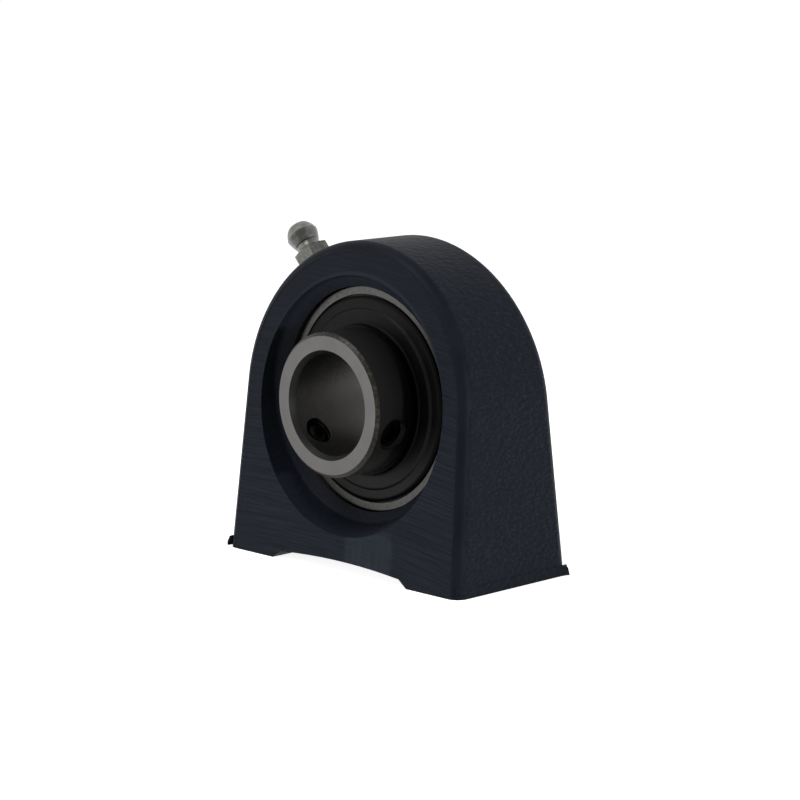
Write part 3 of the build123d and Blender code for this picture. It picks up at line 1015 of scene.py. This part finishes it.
def set_screw(name):
    """Screw on the Z axis, its point down."""
    rod_foot, rod_top = SCREW_POINT + POINT_BEVEL, SCREW_FACE - FACE_BEVEL
    screw = threaded(name, SCREW_CREST, SCREW_ROOT, SCREW_PITCH, rod_foot, rod_top)
    edit(screw)
    select_where(screw, "faces", lambda place: place.z > rod_top * MM - NEAR)
    grow([(SCREW_FACE, SCREW_ROOT - 0.08)], rod_top, SCREW_CREST)
    select_where(screw, "faces", lambda place: place.z < rod_foot * MM + NEAR)
    cup = [(SCREW_POINT, CUP_RIM), (SCREW_POINT, CUP_EDGE), (SCREW_POINT + CUP_DEPTH, CUP_BOTTOM)]
    grow(cup, rod_foot, SCREW_CREST)
    bpy.ops.object.mode_set(mode="OBJECT")
    bottom = SCREW_FACE - SOCKET_DEPTH
    cut_with(screw, hexagon("socket", SOCKET_FLATS, bottom, SCREW_FACE + 1), "DIFFERENCE")
    drill = turned("socket_drill", [(bottom - 0.3, 0.02), (bottom + 0.1, DRILL_RADIUS)])
    cut_with(screw, drill, "DIFFERENCE")
    return screw


# %% Both set screws
SCREW_BLACK = (0.0045, 0.0045, 0.0042)
screw_steel = plain_finish("screw_steel", SCREW_BLACK, 1.0, 0.45, 3.0, 0.004)
first_screw = set_screw("set_screw_1_cut")
screws = first_screw, copy_of(first_screw, "set_screw_2_cut")
screw_axes_meet = shaft_centre + Vector((0, SCREW_LINE * MM, 0))
for number, (screw, angle) in enumerate(zip(screws, SCREW_ANGLES), start=1):
    outward = Vector((cos(radians(angle)), 0, sin(radians(angle))))
    lay(screw, screw_axes_meet, outward, screw_steel, f"set_screw_{number}")
    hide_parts(f"set_screw_{number}")

# %% [markdown]
# ## Grease nipple
#
# The nipple is turned from zinc-plated hexagon bar. Its sides are the bar itself, bevelled by the
# lathe where they end, so the hexagon is made as a prism and what lies outside a turned blank is
# cut off it. The neck and the head are turned, with a crisp ring where the grease gun grips, and
# a stepped hole lets the check ball show in the mouth.

# %% Shape of the grease nipple
NIPPLE_TURN = -47.7  # degrees round its own axis
BAR_FLATS = 7.0  # millimetres, as are the next
HEX_TOP = 4.9
NECK_RADIUS, NECK_FOOT, NECK_TOP = 2.45, 6.0, 6.6
HEAD_MIDDLE, HEAD_RADIUS = 8.7, 3.25
STUB_CREST, STUB_ROOT, STUB_PITCH = 2.68, 2.3, 1.0


def hexagon_bar():
    corner = BAR_FLATS / sqrt(3)
    bar = hexagon("nipple_cut", BAR_FLATS, 0, HEX_TOP, radians(NIPPLE_TURN))
    blank = turned("blank", [
        (0, corner - 0.5), (0.25, corner),
        (HEX_TOP - 0.25, corner + 0.02), (HEX_TOP, corner - 0.55),
    ])
    cut_with(bar, blank, "INTERSECT")
    return bar


def head_and_neck():
    return turned("head_and_neck", [
        (HEX_TOP - 0.6, 3.0), (HEX_TOP, 3.0), (HEX_TOP + 0.2, 2.98), (HEX_TOP + 0.5, 2.66),
        (NECK_FOOT, NECK_RADIUS), (NECK_TOP, NECK_RADIUS), (NECK_TOP + 0.12, 2.62),
        (7.7, 2.98), (8.3, 3.16), (HEAD_MIDDLE, HEAD_RADIUS), (9.0, HEAD_RADIUS), (9.12, 3.14),
        (9.7, 2.98), (10.3, 2.66), (10.8, 2.3), (11.02, 2.08), (11.1, 1.9), (11.1, 0.4),
    ])


nipple = hexagon_bar()
cut_with(nipple, head_and_neck(), "UNION")
stub = threaded("stub", STUB_CREST, STUB_ROOT, STUB_PITCH, -5.3, -0.5)
cut_with(nipple, stub, "UNION")
cut_with(nipple, turned("undercut", [(-1.0, 2.25), (0.3, 2.25)]), "UNION")
cut_with(nipple, turned("way", [
    (-5.6, 0.75), (-4.7, 0.75), (-4.7, 1.25),
    (10.4, 1.25), (10.4, 0.95), (11.0, 0.95), (11.3, 1.3),
]), "DIFFERENCE")
print(nipple.name, "has", len(nipple.data.polygons), "faces")

# %% [markdown]
# ### Zinc
#
# Zinc plate goes dull in patches. Its colour is also painted paler towards the outline as it is
# seen, a painted sheen, which a Layer Weight node gives from any side.

# %% Zinc, and the nipple in its place
ZINC_DARK = (0.055, 0.055, 0.051)
ZINC_PALE = (0.215, 0.215, 0.205)
NIPPLE_LEAN = 42  # degrees from the vertical, towards -X
NIPPLE_SEAT = 30.6  # millimetres from the shaft line


def nipple_zinc():
    r = Recipe("nipple_zinc", ZINC_DARK, 1.0, 0.34)
    painted_rim_sheen = r.node("ShaderNodeLayerWeight", Blend=0.5).outputs["Facing"]
    patches = r.noise(r.place, 1.1, 3.0, 0.6)
    # Painted sheen: paler towards the outline from wherever the nipple is seen, added to the dull
    # patches.
    amount = r.plus(r.step(painted_rim_sheen, 0.05, 0.75), r.times(r.minus(patches, 0.5), 0.9))
    r.set("Base Color", r.blend(amount, ZINC_DARK, ZINC_PALE))
    r.set("Roughness", r.between(patches, 0.26, 0.44))
    r.relief((patches, 0.02))
    return r.material


nipple_steel = nipple_zinc()
dress(nipple_steel, "nipple_body")
lean = radians(NIPPLE_LEAN)
nipple_out = Vector((-sin(lean), 0, cos(lean)))
nipple_seat = shaft_centre + nipple_out * NIPPLE_SEAT * MM
lay(nipple, nipple_seat, nipple_out, nipple_steel, "housing")
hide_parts("nipple_body")

# %% [markdown]
# ## Threads in the base
#
# The two holes underneath are tapped for M8 bolts. A tapped hole is a wall with ridges on it, so
# here the tooth keeps its back, which lies in the wall, and points inwards. It is wound up in the
# same way, and its two open ends are closed. The right-hand thread is a copy of the left one.

# %% Shape of a thread in the base
HOLE_WALL, RIDGE_TIP, HOLE_PITCH = 3.42, 2.95, 1.25  # millimetres, as are the next two
THREAD_FOOT, THREAD_TOP = 0.9, 13.0
RIDGE_BACK = 0.94  # share of the pitch that the ridge is wide in the wall
RIDGE_FRONT = 0.14  # share of that width that is left at its tip
HOLE_STEPS = 28  # facets in one turn


def hole_thread(name):
    """Ridge that climbs the wall of a hole on the Z axis."""
    select_none()
    middle = (HOLE_WALL + RIDGE_TIP) / 2
    bpy.ops.mesh.primitive_plane_add(
        size=HOLE_PITCH * MM, location=(middle * MM, 0, THREAD_FOOT * MM), rotation=(pi / 2, 0, 0)
    )
    ridge = bpy.context.active_object
    ridge.name = name
    bpy.ops.object.transform_apply()
    edit(ridge)
    centre = (middle * MM, 0, THREAD_FOOT * MM)
    squeeze = (HOLE_WALL - RIDGE_TIP) / HOLE_PITCH
    bpy.ops.transform.resize(value=(squeeze, 1, RIDGE_BACK), center_override=centre)
    select_where(ridge, "edges", lambda place: place.x < (RIDGE_TIP + 0.1) * MM)
    bpy.ops.transform.resize(value=(1, 1, RIDGE_FRONT), center_override=centre)
    bpy.ops.object.mode_set(mode="OBJECT")
    apply_modifier(
        ridge, "SCREW", screw_offset=HOLE_PITCH * MM,
        iterations=int((THREAD_TOP - THREAD_FOOT) / HOLE_PITCH),
        steps=HOLE_STEPS, render_steps=HOLE_STEPS,
        use_merge_vertices=True, merge_threshold=MERGE, use_smooth_shade=False,
    )
    edit(ridge)
    bpy.ops.mesh.fill_holes(sides=4)
    face_outwards()
    return ridge


# %% Both threads in the base
UP = Vector((0, 0, 1))
cut_iron = plain_finish("cut_iron", BARE_IRON, 0.8, 0.45, 2.0, 0.006)
left_thread = hole_thread("thread_left")
for thread, side in ((left_thread, -1), (copy_of(left_thread, "thread_right"), 1)):
    hole = Vector((side * HOLE_SPACING / 2 * MM, 0, 0))
    lay(thread, hole, UP, cut_iron, "housing")

# %% [markdown]
# ## Casting flash
#
# Where the two halves of a sand mould meet, iron creeps into the joint and leaves a thin, ragged
# fin. Here it runs along the foot of each end and swells at one corner. A grid stands against the
# end, each of its points is pulled out by its own amount, and Solidify gives it thickness.

# %% Shape of a fin
BASE_LENGTH, BASE_DEPTH = 65.0, 31.0  # millimetres, as are the next
FIN_LENGTH = BASE_DEPTH - 1.0
FIN_HEIGHT, FIN_REACH, FIN_THICKNESS = 2.0, 0.6, 0.4
FIN_SUNK = 0.2  # how far the fin starts inside the iron
FIN_LIFT = 0.1  # its lower edge stays clear of the floor
SWELL_LENGTH, SINK_LENGTH, SINK_DEPTH = 3.0, 6.0, 0.9
EVEN_REACH, EVEN_HEIGHT, SWELL_RISE = 0.26, 0.5, 1.6
RAGGED = (-0.08, 0.10)  # the least and the most that chance adds
FIN_BEVEL = 0.06


def pull_at(place, curl_end, dice):
    """How far one point of the fin is pulled out of the casting, in millimetres."""
    from_curl = abs(place.y / MM - curl_end * BASE_DEPTH / 2)
    swell = max(0.0, 1 - from_curl / SWELL_LENGTH)
    sunk = max(0.0, (from_curl - BASE_DEPTH + SINK_LENGTH) / SINK_LENGTH)
    share = max(0.0, 1 - (place.z / MM / (EVEN_HEIGHT + SWELL_RISE * swell)) ** 2)
    reach = (EVEN_REACH + FIN_REACH * swell) * share - SINK_DEPTH * sunk
    return reach + dice.uniform(*RAGGED) * (0.4 + swell)


def flash(name, side, curl_end, seed):
    """Ragged fin along the foot of one end of the base; it swells at the corner named."""
    dice = random.Random(seed)
    select_none()
    foot = Vector((side * (BASE_LENGTH / 2 - FIN_SUNK), 0, FIN_HEIGHT / 2 + FIN_LIFT)) * MM
    bpy.ops.mesh.primitive_grid_add(
        x_subdivisions=6, y_subdivisions=40, size=1, location=foot, rotation=(0, pi / 2, 0)
    )
    fin = bpy.context.active_object
    fin.name = name
    fin.scale = (FIN_HEIGHT * MM, FIN_LENGTH * MM, 1)
    bpy.ops.object.transform_apply()
    edit(fin)
    mesh = bmesh.from_edit_mesh(fin.data)
    for place in [v.co.copy() for v in mesh.verts]:
        select_where(fin, "verts", lambda p: (p - place).length < 0.01 * MM)
        pull = side * pull_at(place, curl_end, dice) * MM
        bpy.ops.transform.translate(value=(pull, 0, 0))
    bpy.ops.object.mode_set(mode="OBJECT")
    apply_modifier(fin, "SOLIDIFY", thickness=FIN_THICKNESS * MM, offset=0)
    apply_modifier(fin, "BEVEL", width=FIN_BEVEL * MM, segments=2)
    return fin


# %% Both fins
ALONG = Vector((1, 0, 0))

for name, side, curl_end, seed in (("flash_left", -1, -1, 3), ("flash_right", 1, 1, 8)):
    fin = flash(name, side, curl_end, seed)
    lay(fin, Vector(), UP, paint, "housing", side=ALONG)

# %% [markdown]
# ## The last word
#
# The colours are shown through the Standard view transform.

# %% View transform
bpy.context.scene.view_settings.view_transform = "Standard"
